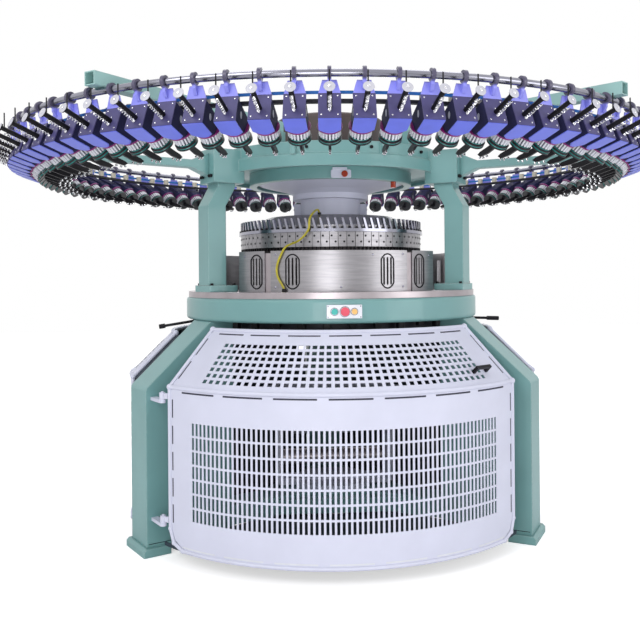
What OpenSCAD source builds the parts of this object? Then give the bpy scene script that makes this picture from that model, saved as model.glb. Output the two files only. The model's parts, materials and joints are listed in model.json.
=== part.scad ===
// Double jersey circular knitting machine: a teal cast frame on three legs,
// a bed with the needle cylinder, a crown with the dial, and a wide ring of
// yarn feeders hung on a tube. Millimetres, +Z up, origin on the floor at the
// machine's vertical axis, front towards -Y.

/* [Frame] */
// Outer radius of the three legs
leg_out_r = 1050; // [1045:1:1060]
// Thickness of a leg across its radius
leg_w = 180; // [160:2:190]
// Height where the outer leg face starts to slope
leg_knee_z = 734; // [700:2:760]
// Height of the foot pads
foot_h = 38; // [30:1:45]
// Radius of the bed
bed_r = 742; // [740:1:750]
// Height of the underside of the bed
bed_z = 1020; // [1015:1:1025]
// Thickness of the bed
bed_h = 107; // [100:1:115]
// Thickness of the machined ring on the bed
top_ring_h = 28; // [22:1:32]
// Depth of a column along the radius
col_d = 92; // [84:1:96]
// Width of a column across the radius
col_w = 106; // [90:1:120]
// Height of the top end of the columns
col_top_z = 1668; // [1660:1:1672]

/* [Cylinder] */
// Outer radius of the needle cylinder drum
drum_r = 455; // [450:1:458]
// Height of the top end of the drum
drum_top_z = 1433; // [1428:1:1436]
// Number of cam plates round the drum
plate_count = 72; // [60:1:78]
// Height of a cam plate
plate_h = 70; // [60:1:75]
// Radius of the stainless cylinder guards
shell_r = 600; // [590:1:604]
// Height of the stainless cylinder guards
shell_h = 187; // [170:1:190]

/* [Crown] */
// Outer radius of the crown band
crown_r = 580; // [575:1:585]
// Radius of the disc at the top of the dial hub
hub_disc_r = 376; // [350:1:378]
// Radius of the dial hub's lower barrel
hub_barrel_r = 155; // [140:1:165]
// Radius of the housing on top of the crown
housing_r = 280; // [240:1:300]
// Height of the housing on top of the crown
housing_h = 190; // [150:1:195]

/* [Yarn feeders] */
// Number of feeders round the machine
feeder_count = 84; // [72:1:86]
// Radius of the tube ring that carries the feeders
tube_ring_r = 1540; // [1539:1:1541]
// Diameter of that tube
tube_d = 26; // [25:0.5:26.5]
// Radius of the feeder wheel's end rings
wheel_ring_r = 42; // [38:1:42]
// Radius of the feeder wheel's finned barrel
wheel_r = 29; // [26:1:32]
// Width of a feeder's box
feeder_w = 66; // [62:1:68]
// Width of a feeder's cover plate
cover_w = 76; // [72:1:78]

/* [Guards] */
// Radius of the lower guard sheets
guard_r = 1016; // [1014:1:1018]
// Half of the angle that a guard spans
guard_half_angle = 47.5; // [47:0.1:47.6]
// Diameter of a guard's frame tube
guard_tube_d = 18; // [16:1:19]
// Number of slot columns in a lower guard sheet
slot_columns = 66; // [60:1:68]
// Number of hole columns in an upper guard sheet
hole_columns = 38; // [34:1:40]

/* [Controls] */
// Width of the push-button panel
panel_w = 152; // [140:1:160]
// Height of the push-button panel
panel_h = 58; // [52:1:60]
// Distance that a push button travels
button_travel = 3; // [2:0.5:3]
// Length of the hand levers from their pins
lever_len = 190; // [170:1:195]

/* [Hidden] */

$fn = 96;
teal = [0.42, 0.62, 0.62];
guard_white = [0.84, 0.85, 0.92];
steel = [0.62, 0.62, 0.64];
chrome = [0.8, 0.8, 0.82];
feeder_blue = [0.40, 0.46, 0.93];
feeder_slate = [0.27, 0.26, 0.43];
dark = [0.08, 0.08, 0.09];

// Angles of the three legs, measured from the front towards +X
leg_angles = [-60, 60, 180];
run_fit = 0.05;
seat = 0.3;

bed_top = bed_z + bed_h;
deck_z = bed_top + top_ring_h;
bore_r = 400;
leg_in_r = 620;
leg_top_r = 735;
leg_corner_r = 30;
flange_h = 31;
col_in_r = 634;
col_lean = 50;
col_bend_z = [1560, 1650];

housing_z = 1840;
crown_z = 1725;
ledge_z = 1779;
web_z = 1747;
boss_z = 1712;
socket_top = 1828;
arm_z = 1906;
arm_h = 50;
arm_wall = 4;
arm_angles = [-8.5, 9.5, feeder_count / 2 - 0.5] * 360 / feeder_count;
tube_z = arm_z - tube_d / 2;
dial_top_z = 1523;
mount_r = tube_ring_r - 90;
mount_z = 1813;
mount_h = 12;
mount_w = 24;
pulley_r = 15;

// Axis of a feeder wheel: its face centre in radius and height, and its lean
axis_tilt = 48;
face_r = tube_ring_r - 101.3;
face_z = 1739.3;
ax = [sin(axis_tilt), cos(axis_tilt)];
across = [cos(axis_tilt), -sin(axis_tilt)];
wheel_len = 55;
rim_r = wheel_ring_r + 2;
body_top = [tube_ring_r - 15, 1828.5];
body_nose = [tube_ring_r + 20, 1740];
body_low = [face_r, face_z] + 42 * across;
body_back = [face_r, face_z] - 42 * across;
cover_dir = (body_nose - body_top) / norm(body_nose - body_top);
cover_out = [-cover_dir[1], cover_dir[0]];
cover_t = 4;
shield_dir = (body_low - body_nose) / norm(body_low - body_nose);
shield_out = [-shield_dir[1], shield_dir[0]];
shield_t = 3;
wing_top = 1872;

seam_z = 756;
front_top = [guard_r - 236, 989];
door_rest = -0.001;
rear_top = [guard_r - 204, 957];
sheet_t = 3;
guard_low_z = 69;
corner_r = 80;
slot_step = 1.205;
hole_step = 2;
rear_slot_columns = floor(slot_columns / 3);
rear_hole_columns = floor(hole_columns / 3) + 1;
rear_angles = [-120, 120];
hinge_at = [guard_r + 14, -49.5];
hinge_heights = [170, 700];
hinge_pin_r = 6;

lever_r = 700;
lever_pin_r = 6;
lever_z = 1002;
panel_z = 1044;
button_x = [-43, 2, 43];
button_r = [13.5, 19, 12];
stem_r = 5;

function arc(c, r, a0, a1, n) = [for (i = [0 : n]) c + r * [cos(a0 + (a1 - a0) * i / n), sin(a0 + (a1 - a0) * i / n)]];
function polar(r, phi, z) = [r * sin(phi), -r * cos(phi), z];

// Places children at an angle from the front and a radius from the axis
module at(phi, r = 0, z = 0) {
    rotate([0, 0, phi])
        translate([0, -r, z])
            children();
}

// Stands a 2D outline drawn in radius and height on a radial plane
module radial_slab(width, side = 0) {
    translate([side, 0, 0])
        rotate([0, 0, -90])
            rotate([90, 0, 0])
                linear_extrude(width, center = true)
                    children();
}

module around_feeders() {
    for (k = [0 : feeder_count - 1])
        at(k * 360 / feeder_count)
            children();
}

// Part of a revolved outline between two angles from the front
module sector(from_phi, to_phi) {
    rotate([0, 0, from_phi - 90])
        rotate_extrude(angle = to_phi - from_phi, $fn = 180)
            children();
}

module annulus(r_in, r_out, z0, z1) {
    rotate_extrude($fn = 180)
        translate([r_in, z0])
            square([r_out - r_in, z1 - z0]);
}

module leg(phi) {
    color(teal)
        at(phi)
            radial_slab(leg_w)
                polygon(concat(
                    [[leg_in_r, foot_h], [leg_out_r, foot_h]],
                    arc([leg_out_r - leg_corner_r, leg_knee_z - 12], leg_corner_r, 0, 42, 6),
                    [[leg_top_r, bed_z], [leg_in_r, bed_z]]));
}

module leg_left() {
    leg(leg_angles[0]);
}

module leg_right() {
    leg(leg_angles[1]);
}

module leg_back() {
    leg(leg_angles[2]);
}

module foot_pads() {
    pad = 20;
    bevel = 12;
    color(teal)
        for (phi = leg_angles)
            at(phi)
                for (r = [[leg_in_r + 10, leg_in_r + 140], [leg_out_r - 106, leg_out_r + pad]])
                    radial_slab(leg_w + 2 * pad)
                        polygon([[r[0], 0], [r[1], 0], [r[1], foot_h - bevel],
                            [r[1] - bevel, foot_h], [r[0] + bevel, foot_h], [r[0], foot_h - bevel]]);
}

// Star of three beams with cross ties, between the legs' inner faces
module base_frame() {
    beam_w = 160;
    beam_z = 60;
    beam_h = 90;
    tie_r = 500;
    color(teal)
        union() {
            for (phi = leg_angles)
                at(phi)
                    translate([-beam_w / 2, -leg_in_r, beam_z])
                        cube([beam_w, leg_in_r, beam_h]);
            for (phi = leg_angles)
                at(phi + 60)
                    translate([-tie_r * sin(60), -tie_r * cos(60) - 30, beam_z + 10])
                        cube([2 * tie_r * sin(60), 60, beam_h - 20]);
            translate([0, 0, beam_z])
                cylinder(r = 210, h = beam_h);
        }
}

module bed_plate() {
    edge = 14;
    color(teal)
        rotate_extrude($fn = 180)
            polygon(concat(
                [[bore_r, bed_z]],
                arc([bed_r - edge, bed_z + edge], edge, -90, 0, 5),
                arc([bed_r - edge, bed_top - edge], edge, 0, 90, 5),
                [[bore_r, bed_top]]));
}

module bed_top_ring() {
    color([0.72, 0.68, 0.70])
        annulus(bore_r, bed_r - 10, bed_top, deck_z);
}

module gear_case() {
    color(dark)
        annulus(bore_r + 130, leg_in_r - 5, bed_z - 62, bed_z);
}

module column(phi) {
    flange_d = bed_r - 10 - 588;
    x0 = col_in_r;
    x1 = col_in_r + col_d;
    color(teal)
        at(phi)
            union() {
                radial_slab(col_w)
                    polygon([[x0, deck_z + flange_h], [x1, deck_z + flange_h],
                        [x1, col_bend_z[0]], [x1 - col_lean, col_bend_z[1]],
                        [x1 - col_lean, col_top_z], [x0 - col_lean, col_top_z],
                        [x0 - col_lean, col_bend_z[1]], [x0, col_bend_z[0]]]);
                translate([-80, -588 - flange_d, deck_z])
                    cube([160, flange_d, flange_h]);
            }
}

module column_left() {
    column(leg_angles[0]);
}

module column_right() {
    column(leg_angles[1]);
}

module column_back() {
    column(leg_angles[2]);
}

// Casting on top of the columns, with sockets, ribs and posts for the arms
module crown() {
    socket_w = 150;
    rib_w = 24;
    color(teal)
        union() {
            rotate_extrude($fn = 180)
                polygon([[0, boss_z], [300, boss_z], [300, web_z], [crown_r - 22, web_z],
                    [crown_r - 22, crown_z], [crown_r, crown_z], [crown_r, ledge_z],
                    [crown_r - 12, ledge_z + 8], [crown_r - 12, housing_z], [0, housing_z]]);
            for (phi = leg_angles)
                at(phi)
                    translate([-socket_w / 2, -705, col_top_z])
                        cube([socket_w, 160, socket_top - col_top_z]);
            for (phi = [-21, 21, 99, 141, -99, -141])
                at(phi)
                    translate([-rib_w / 2, -crown_r - 8, ledge_z])
                        cube([rib_w, 60, housing_z - ledge_z]);
            for (phi = arm_angles)
                at(phi)
                    translate([-35, -560, housing_z - 10])
                        cube([70, 110, arm_z - housing_z + 10]);
        }
}

module crown_ring() {
    color(teal)
        annulus(hub_disc_r + 6, 420, web_z - 61, web_z);
}

// Stepped white bell that carries the dial
module dial_hub() {
    neck_r = hub_barrel_r + 39;
    color(guard_white)
        union() {
            rotate_extrude($fn = 128)
                polygon([[0, dial_top_z], [hub_barrel_r, dial_top_z], [hub_barrel_r, 1618], [neck_r, 1618],
                    [neck_r, 1646], [neck_r + 36, 1664], [hub_disc_r - 30, 1692],
                    [hub_disc_r, 1700], [hub_disc_r, boss_z], [0, boss_z]]);
            for (phi = [-94, 86])
                at(phi)
                    translate([-22, -hub_barrel_r - 34, 1530])
                        cube([44, 44, 70]);
        }
}

module dial_housing() {
    color(steel)
        rotate_extrude($fn = 128)
            polygon([[0, drum_top_z], [436, drum_top_z], [436, drum_top_z + 34], [330, dial_top_z], [0, dial_top_z]]);
}

module cylinder_drum() {
    color([0.3, 0.3, 0.31])
        annulus(bore_r, drum_r, deck_z, drum_top_z);
}

module cam_plates() {
    step = 360 / plate_count;
    gap = 0.16;
    color(steel)
        for (k = [0 : plate_count - 1])
            sector(k * step + gap, (k + 1) * step - gap)
                translate([drum_r, drum_top_z - plate_h])
                    square([10, plate_h]);
}

// Ring on the drum with one slanted yarn guide for each feeder
module yarn_guides() {
    ring_h = 15;
    guide_h = 50;
    slant = 16;
    color(chrome)
        union() {
            annulus(440, 475, drum_top_z, drum_top_z + ring_h);
            around_feeders()
                translate([0, -455, drum_top_z + ring_h])
                    rotate([90, 0, 0])
                        linear_extrude(12)
                            polygon([[-6, -3], [6, -3], [6 - slant, guide_h], [-4 - slant, guide_h]]);
        }
}

// Stainless guard sheets round the cylinder, three to each bay between columns
module cylinder_guards() {
    slot_w = 9;
    slot_h = 116;
    sheet = 4;
    color(steel)
        for (bay = [0, 120, 240])
            at(bay)
                difference() {
                    for (span = [[-50, -34.6], [-31.4, 31.4], [34.6, 50]])
                        sector(span[0], span[1])
                            translate([shell_r - sheet / 2, deck_z])
                                square([sheet, shell_h]);
                    for (phi = [-39, -21, 21, 39])
                        for (side = [-18, 0, 18])
                            at(phi, shell_r, deck_z + 34)
                                translate([side, 0, 0]) {
                                    translate([-slot_w / 2, -20, 0])
                                        cube([slot_w, 40, slot_h]);
                                    for (z = [0, slot_h])
                                        translate([0, 20, z])
                                            rotate([90, 0, 0])
                                                cylinder(d = slot_w, h = 40, $fn = 32);
                                }
                }
}

module guard_brackets() {
    t = 8;
    w = 54;
    color([0.5, 0.5, 0.52])
        for (bay = [0, 120, 240])
            for (phi = [-33, 33])
                at(bay + phi)
                    union() {
                        translate([-w / 2, -shell_r + 5, deck_z])
                            cube([w, t, shell_h - 10]);
                        translate([-w / 2, -shell_r + 5, deck_z])
                            cube([w, 70, t]);
                    }
}

module top_housing() {
    edge = 20;
    color([0.2, 0.16, 0.16])
        rotate_extrude($fn = 128)
            polygon(concat(
                [[0, housing_z], [housing_r, housing_z]],
                arc([housing_r - edge, housing_z + housing_h - edge], edge, 0, 90, 5),
                [[0, housing_z + housing_h]]));
}

// Beams from the column sockets out to the ring under the belt pulleys
module lower_beams() {
    low = 1735.5;
    high = 1772;
    finger = 10;
    color(teal)
        for (phi = leg_angles)
            at(phi)
                radial_slab(50)
                    polygon([[705, 1700], [790, low], [1355, low], [1360, low + 5],
                        [1360, mount_z - finger], [mount_r + mount_w / 2, mount_z - finger],
                        [mount_r + mount_w / 2, mount_z], [1338, mount_z], [1338, high],
                        [790, high], [705, 1810]]);
}

// Box section arms from the crown's posts over the tube ring
module upper_arms() {
    color([0.5, 0.7, 0.7])
        for (phi = arm_angles)
            at(phi)
                translate([0, -450, arm_z + arm_h / 2])
                    rotate([90, 0, 0])
                        linear_extrude(1140)
                            difference() {
                                square(arm_h, center = true);
                                square(arm_h - 2 * arm_wall, center = true);
                            }
}

module tube_ring() {
    color(chrome)
        rotate_extrude($fn = 180)
            translate([tube_ring_r, tube_z])
                circle(d = tube_d, $fn = 32);
}

module mount_ring() {
    color([0.45, 0.45, 0.47])
        annulus(mount_r - mount_w / 2, mount_r + mount_w / 2, mount_z, mount_z + mount_h);
}

module belt_pulleys() {
    color([0.8, 0.78, 0.7])
        around_feeders()
            translate([0, -mount_r, mount_z + mount_h])
                cylinder(r = pulley_r - 0.2, h = 30, $fn = 32);
}

module drive_belt() {
    color([0.12, 0.45, 0.78])
        annulus(mount_r + pulley_r, mount_r + pulley_r + 3, 1840, 1851);
}

module feeder_bodies() {
    color([0.18, 0.18, 0.32])
        around_feeders()
            difference() {
                radial_slab(feeder_w)
                    polygon([body_top, body_nose, body_low, body_back]);
                on_wheel_axis()
                    rotate_extrude($fn = 48)
                        polygon([[rim_r - 12, -12], [rim_r + 30, 30], [rim_r + 50, 30], [rim_r + 50, -12]]);
            }
}

module feeder_covers() {
    color(feeder_slate)
        around_feeders()
            radial_slab(cover_w)
                polygon([body_top, body_nose, body_nose + cover_t * cover_out,
                    [body_top[0] + cover_t / cover_out[0], body_top[1]]]);
}

// Blue shield under each feeder box, rounded where it meets the wheel's rim
module feeder_shields() {
    overhang = 5;
    color(feeder_blue)
        around_feeders()
            difference() {
                radial_slab(feeder_w + 2 * overhang)
                    polygon([body_nose, body_low, body_low + shield_t * shield_out,
                        body_nose + shield_t * shield_out]);
                on_wheel_axis()
                    rotate_extrude($fn = 48)
                        polygon([[0, -12], [0, 0], [rim_r, 0], [rim_r + 30, 30],
                            [rim_r + 50, 30], [rim_r + 50, -12]]);
            }
}

// Children turned so that +Z runs from the wheel up into the feeder box
module on_wheel_axis() {
    translate([0, -face_r, face_z])
        rotate([axis_tilt, 0, 0])
            children();
}

module feeder_rims() {
    color([0.51, 0.08, 0.43])
        around_feeders()
            on_wheel_axis()
                translate([0, 0, -5])
                    cylinder(r = rim_r, h = 5, $fn = 48);
}

module feeder_wheels() {
    color([0.78, 0.78, 0.8])
        around_feeders()
            on_wheel_axis()
                rotate_extrude($fn = 48)
                    polygon([[0, -wheel_len], [wheel_ring_r, -wheel_len], [wheel_ring_r, -wheel_len + 4],
                        [wheel_r + 4, -wheel_len + 7], [wheel_ring_r, -wheel_len + 10],
                        [wheel_ring_r, -wheel_len + 14], [wheel_r, -wheel_len + 18],
                        [wheel_r, -5], [0, -5]]);
}

// Blue wing plate over the cover, and the clamp that grips the tube ring
module feeder_clamps() {
    clamp_w = 13;
    clamp_r = 22.5;
    wing_out = body_top[0] + cover_t / cover_out[0];
    color([0.45, 0.42, 0.6])
        around_feeders()
            union() {
                translate([0, -body_top[0], 0])
                    rotate([90, 0, 0])
                        linear_extrude(wing_out - body_top[0])
                            polygon([[-37, body_top[1]], [37, body_top[1]], [24, wing_top], [-24, wing_top]]);
                radial_slab(clamp_w)
                    difference() {
                        union() {
                            translate([tube_ring_r, tube_z])
                                circle(r = clamp_r, $fn = 48);
                            polygon([[wing_out, wing_top - 32], [wing_out + 5, wing_top - 32],
                                [tube_ring_r + 6, wing_top - 12], [tube_ring_r + 6, wing_top + 2],
                                [wing_out, wing_top]]);
                        }
                        translate([tube_ring_r, tube_z])
                            circle(r = tube_d / 2 + seat, $fn = 48);
                        translate([tube_ring_r - 30, tube_z - 4])
                            square([30, 8]);
                    }
            }
}

// Yarn tensioner: a stem square to the cover, a disc and a wire post
module feeder_tensioners() {
    stem_at = body_top + 55 * cover_dir + cover_t * cover_out;
    stem_len = 108;
    disc_r = 15.5;
    tilt = 90 - atan2(cover_out[1], cover_out[0]);
    post_at = stem_at + (stem_len - 12) * cover_out;
    color([0.2, 0.1, 0.22])
        around_feeders()
            union() {
                translate([0, -stem_at[0], stem_at[1]])
                    rotate([tilt, 0, 0]) {
                        cylinder(r = 9, h = stem_len, $fn = 32);
                        translate([0, 0, stem_len])
                            cylinder(r = disc_r, h = 6, $fn = 32);
                    }
                translate([0, -post_at[0], post_at[1]])
                    cylinder(r = 2.5, h = 64, $fn = 16);
            }
}

// Black lever on the end of each wheel's shaft that leads the yarn inwards
module feeder_exit_arms() {
    arm_w = 10;
    hub = [face_r, face_z] - wheel_len * ax;
    color(dark)
        around_feeders()
            radial_slab(arm_w)
                polygon([hub + 11 * across, hub - 11 * across, [1340, 1696], [1302, 1686],
                    [1286, 1677], [1302, 1668], [1345, 1674]]);
}

// Push-button plate on the front of the bed's rim
module control_panel() {
    depth = 16;
    color([0.85, 0.85, 0.85])
        difference() {
            translate([-panel_w / 2, -bed_r - depth + 3, panel_z])
                cube([panel_w, depth + 6, panel_h]);
            translate([0, 0, bed_z])
                cylinder(r = bed_r, h = bed_h, $fn = 180);
            for (x = button_x)
                translate([x, -bed_r - depth, panel_z + panel_h / 2])
                    rotate([-90, 0, 0])
                        cylinder(r = stem_r + run_fit, h = 14, $fn = 48);
        }
}

// Mushroom or flat push button with its stem in the panel
module push_button(i, cap_h) {
    front = -bed_r - 16 + 3;
    translate([button_x[i], front - button_travel - 1, panel_z + panel_h / 2])
        rotate([90, 0, 0])
            union() {
                cylinder(r = button_r[i], h = cap_h, $fn = 48);
                translate([0, 0, -8])
                    cylinder(r = stem_r, h = 8, $fn = 48);
            }
}

module start_button() {
    color([0.16, 0.7, 0.7])
        push_button(0, 5);
}

module stop_button() {
    color([0.88, 0.32, 0.43])
        push_button(1, 9);
}

module jog_button() {
    color([0.96, 0.78, 0.47])
        push_button(2, 5);
}

module lever_pins() {
    color(steel)
        for (side = [-90, 90])
            at(side, lever_r)
                union() {
                    translate([0, 0, lever_z - 18])
                        cylinder(r = lever_pin_r, h = bed_z - lever_z + 18, $fn = 48);
                    translate([0, 0, lever_z - 18])
                        cylinder(r = 14, h = 6 - seat, $fn = 48);
                    translate([0, 0, lever_z + 12])
                        cylinder(r = 16, h = bed_z - lever_z - 12, $fn = 48);
                }
}

// Hub on a pin under the bed, a bar, and a grip
module hand_lever(side, grip_r, grip_len, droop) {
    color(dark)
        at(side, lever_r)
            difference() {
                union() {
                    translate([0, 0, lever_z - 12])
                        cylinder(r = 16, h = 24 - seat, $fn = 48);
                    translate([0, 0, lever_z])
                        rotate([90 + droop, 0, 0])
                            cylinder(r = 7, h = lever_len, $fn = 32);
                    translate([0, 0, lever_z])
                        rotate([90 + droop, 0, 0])
                            translate([0, 0, lever_len - grip_len])
                                cylinder(r = grip_r, h = grip_len, $fn = 32);
                }
                translate([0, 0, lever_z - 40])
                    cylinder(r = lever_pin_r + run_fit, h = 80, $fn = 48);
            }
}

module lever_left() {
    hand_lever(-90, 12, 30, 9);
}

module lever_right() {
    hand_lever(90, 11, 62, 2);
}

// Tube outline of a guard: lower sheet bay, seam and sloping upper bay. Tubes
// stop short of each corner and meet in a ball that holds their ends.
module guard_frame(top) {
    r = guard_tube_d / 2;
    bend = guard_half_angle - corner_r / guard_r * 180 / PI;
    side_gap = 6;
    end_gap = r + 0.6;
    module bar(a, b, gap_a, gap_b) {
        d = b - a;
        u = d / norm(d);
        translate(a + gap_a * u)
            rotate([0, acos(u[2]), atan2(u[1], u[0])])
                cylinder(r = r, h = norm(d) - gap_a - gap_b, $fn = 32);
    }
    module hoop(rad, z, half, gap) {
        end = half - gap / rad * 180 / PI;
        sector(-end, end)
            translate([rad, z])
                circle(r = r, $fn = 32);
    }
    module ball(p, gap) {
        translate(p)
            sphere(r = sqrt(r * r + gap * gap) + 0.4, $fn = 32);
    }
    union() {
        hoop(guard_r, guard_low_z, bend, side_gap);
        hoop(guard_r, seam_z, guard_half_angle, end_gap);
        hoop(top[0], top[1], guard_half_angle, end_gap);
        for (s = [-1, 1]) {
            low = polar(guard_r, s * bend, guard_low_z);
            mid = polar(guard_r, s * (guard_half_angle - 0.293 * (guard_half_angle - bend)),
                guard_low_z + 0.293 * corner_r);
            up = polar(guard_r, s * guard_half_angle, guard_low_z + corner_r);
            knee = polar(guard_r, s * guard_half_angle, seam_z);
            head = polar(top[0], s * guard_half_angle, top[1]);
            bar(low, mid, side_gap, side_gap);
            bar(mid, up, side_gap, side_gap);
            bar(up, knee, side_gap, end_gap);
            bar(knee, head, end_gap, end_gap);
            for (p = [low, mid, up])
                ball(p, side_gap);
            for (p = [knee, head])
                ball(p, end_gap);
        }
    }
}

// Room in a sheet's corners for the balls at a hoop's ends
module corner_notches(r, z) {
    room = 28;
    for (s = [-1, 1])
        at(s * guard_half_angle, r, z)
            cube([room, 2 * room, room], center = true);
}

// Slotted lower guard sheet, bent round the machine
module lower_sheet(columns, rows, step) {
    r = guard_tube_d / 2;
    clear = r + 3;
    edge = guard_half_angle - r / guard_r * 180 / PI;
    cut = corner_r;
    slot = [12, 51];
    row_z = 204;
    row_step = 60;
    difference() {
        sector(-edge, edge)
            translate([guard_r - sheet_t / 2, guard_low_z + r])
                square([sheet_t, seam_z - guard_low_z - 2 * r]);
        for (s = [-1, 1])
            at(s * guard_half_angle, guard_r)
                rotate([90, 0, 0])
                    linear_extrude(60, center = true)
                        polygon([[-s * (cut + clear), guard_low_z - 5], [s * 40, guard_low_z - 5],
                            [s * 40, guard_low_z + cut + clear], [-s * clear, guard_low_z + cut + clear],
                            [-s * clear, guard_low_z + cut],
                            [-s * (0.293 * cut + clear), guard_low_z + 0.293 * cut + clear],
                            [-s * cut, guard_low_z + clear], [-s * (cut + clear), guard_low_z + clear]]);
        corner_notches(guard_r, seam_z);
        for (i = [0 : columns - 1])
            for (j = [0 : rows - 1])
                at((i - (columns - 1) / 2) * step, guard_r, row_z + j * row_step)
                    translate([-slot[0] / 2, -10, 0])
                        cube([slot[0], 20, slot[1]]);
    }
}

// Perforated sloping guard sheet between the seam and the top hoop
module upper_sheet(top, columns, rows, step) {
    r = guard_tube_d / 2;
    edge = guard_half_angle - (r + seat) / top[0] * 180 / PI;
    run = [top[0] - guard_r, top[1] - seam_z];
    len = norm(run);
    u = run / len;
    n = [u[1], -u[0]];
    a = [guard_r, seam_z] + u * r;
    b = top - u * r;
    hole = 20;
    difference() {
        sector(-edge, edge)
            polygon([a - n * sheet_t / 2, a + n * sheet_t / 2, b + n * sheet_t / 2, b - n * sheet_t / 2]);
        for (i = [0 : columns - 1])
            for (j = [0 : rows - 1]) {
                p = [guard_r, seam_z] + u * len * (0.14 + 0.1 * j);
                at((i - (columns - 1) / 2) * step, p[0], p[1])
                    rotate([atan2(run[1], -run[0]), 0, 0])
                        translate([-hole / 2, -hole / 2, -10])
                            cube([hole, hole, 20]);
            }
        corner_notches(guard_r, seam_z);
        corner_notches(top[0], top[1]);
    }
}

// Door: the front guard's tube frame
module door_frame() {
    color(guard_white)
        at(door_rest)
            guard_frame(front_top);
}

// Hinge eyes round the pins, each with a web to the door's left-hand post
module door_eyes() {
    post = polar(guard_r, -guard_half_angle, 0);
    pin = polar(hinge_at[0], hinge_at[1], 0);
    d = post - pin;
    eye_r = 13;
    eye_h = 30;
    web = [eye_r - 4, norm(d) - guard_tube_d / 2];
    color(guard_white)
        for (z = hinge_heights)
            translate([pin[0], pin[1], z + seat])
                rotate([0, 0, atan2(d[1], d[0])])
                    difference() {
                        union() {
                            cylinder(r = eye_r, h = eye_h, $fn = 48);
                            translate([web[0], -5, 3])
                                cube([web[1] - web[0], 10, eye_h - 6]);
                        }
                        translate([0, 0, -1])
                            cylinder(r = hinge_pin_r + run_fit, h = eye_h + 2, $fn = 48);
                    }
}

module door_lower_grille() {
    color(guard_white)
        lower_sheet(slot_columns, 7, slot_step);
}

module door_upper_grille() {
    color(guard_white)
        upper_sheet(front_top, hole_columns, 7, hole_step);
}

// Bow handle near the right-hand end of the door's sloping sheet
module door_handle() {
    slope = atan2(front_top[1] - seam_z, guard_r - front_top[0]);
    grip = [95, 14, 12];
    stand = 24;
    color(dark)
        at(37, guard_r - 52, seam_z + 51.34)
            rotate([slope, 0, 0])
                translate([0, 0, sheet_t / 2])
                    union() {
                        translate([-grip[0] / 2, -grip[1] / 2, stand])
                            cube(grip);
                        for (s = [-1, 1])
                            translate([s * (grip[0] / 2 - 7) - 7, -grip[1] / 2, 0])
                                cube([14, grip[1], stand]);
                    }
}

// Fixed arms on the left leg with the pins that the door turns on
module hinge_brackets() {
    pin = polar(hinge_at[0], hinge_at[1] - leg_angles[0], 0);
    arm_t = 14;
    arm_d = 30;
    color(guard_white)
        at(leg_angles[0])
            for (z = hinge_heights)
                union() {
                    translate([leg_w / 2, pin[1] - arm_d / 2, z - arm_t])
                        cube([pin[0] - leg_w / 2, arm_d, arm_t]);
                    translate([pin[0], pin[1], z - arm_t])
                        cylinder(r = arm_d / 2, h = arm_t, $fn = 48);
                    translate([pin[0], pin[1], z - 1])
                        cylinder(r = hinge_pin_r, h = 36, $fn = 48);
                }
}

// Stays from the legs' sides to the posts of the two rear guards
module rear_stays() {
    post = polar(guard_r, 60 - guard_half_angle, 0);
    reach = post[0] - guard_tube_d / 2 - leg_w / 2;
    stay = 20;
    color(guard_white)
        for (leg_side = [[-60, -1], [60, 1], [180, -1], [180, 1]])
            at(leg_side[0])
                for (z = [220, 640])
                    translate([leg_side[1] * (leg_w + reach) / 2, post[1], z])
                        cube([reach, stay, stay], center = true);
}

// Fixed guards on the two rear bays: tube frames, and coarser grilles
module rear_frames() {
    color(guard_white)
        for (phi = rear_angles)
            at(phi)
                guard_frame(rear_top);
}

module rear_grilles() {
    color(guard_white)
        for (phi = rear_angles)
            at(phi) {
                lower_sheet(rear_slot_columns, 7, 3 * slot_step);
                upper_sheet(rear_top, rear_hole_columns, 7, 3 * hole_step);
            }
}

// Turning fabric take-down frame on the base frame's hub
module take_down_frame() {
    ring_z = 580;
    color([0.8, 0.82, 0.84])
        union() {
            translate([0, 0, 150 + seat])
                cylinder(r = 200, h = 30);
            for (s = [-1, 1])
                translate([s * 285 - 10, -120, 180])
                    cube([20, 240, ring_z - 180]);
            translate([-295, -60, 156])
                cube([590, 120, 34]);
            annulus(490, 524, ring_z, ring_z + 26);
            for (s = [-1, 1])
                translate([s * 400 - 115, -50, ring_z])
                    cube([230, 100, 26]);
        }
}

module take_down_rollers() {
    color(steel)
        for (p = [[-45, 470, 32], [45, 470, 32], [0, 290, 38]])
            translate([-275, p[0], p[1]])
                rotate([0, 90, 0])
                    cylinder(r = p[2], h = 550, $fn = 64);
}

module signal_lamps() {
    color([0.8, 0.24, 0.12]) {
        at(4.7, 420, 1705)
            rotate([90, 0, 0])
                cylinder(r = 15, h = 16, $fn = 32);
        at(46, 401, web_z - 61 - 30)
            cylinder(r = 13, h = 30, $fn = 32);
    }
}

wire_r = 5;
wire_route = [[-14, 320, 1533], [-14.5, 350, 1544], [-15, 420, 1528], [-15.8, 482, 1494], [-16.5, 490, 1440],
    [-21, 505, 1392], [-23.5, 560, 1372], [-24.5, 606, 1352], [-27, 611, 1300], [-28, 611, 1260],
    [-27.4, 612, 1222], [-25.5, 614, 1190], [-24.5, 614, 1170]];

module wire_glands() {
    color(dark)
        for (end = [[wire_route[0], dial_top_z], [wire_route[len(wire_route) - 1], deck_z]])
            at(end[0][0], end[0][1], end[1])
                cylinder(r = 9, h = end[0][2] - end[1], $fn = 32);
}

module wire_bundle() {
    color([0.75, 0.7, 0.16])
        tube_along([for (p = wire_route) polar(p[1], p[0], p[2])], wire_r, 8, 3);
}

// Point on a smooth curve through the route's points
function smooth(p, i, t) =
    let (a = p[max(i - 1, 0)], b = p[i], c = p[i + 1], d = p[min(i + 2, len(p) - 1)])
    0.5 * (2 * b + (c - a) * t + (2 * a - 5 * b + 4 * c - d) * t * t + (3 * b - a - 3 * c + d) * t * t * t);

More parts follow.
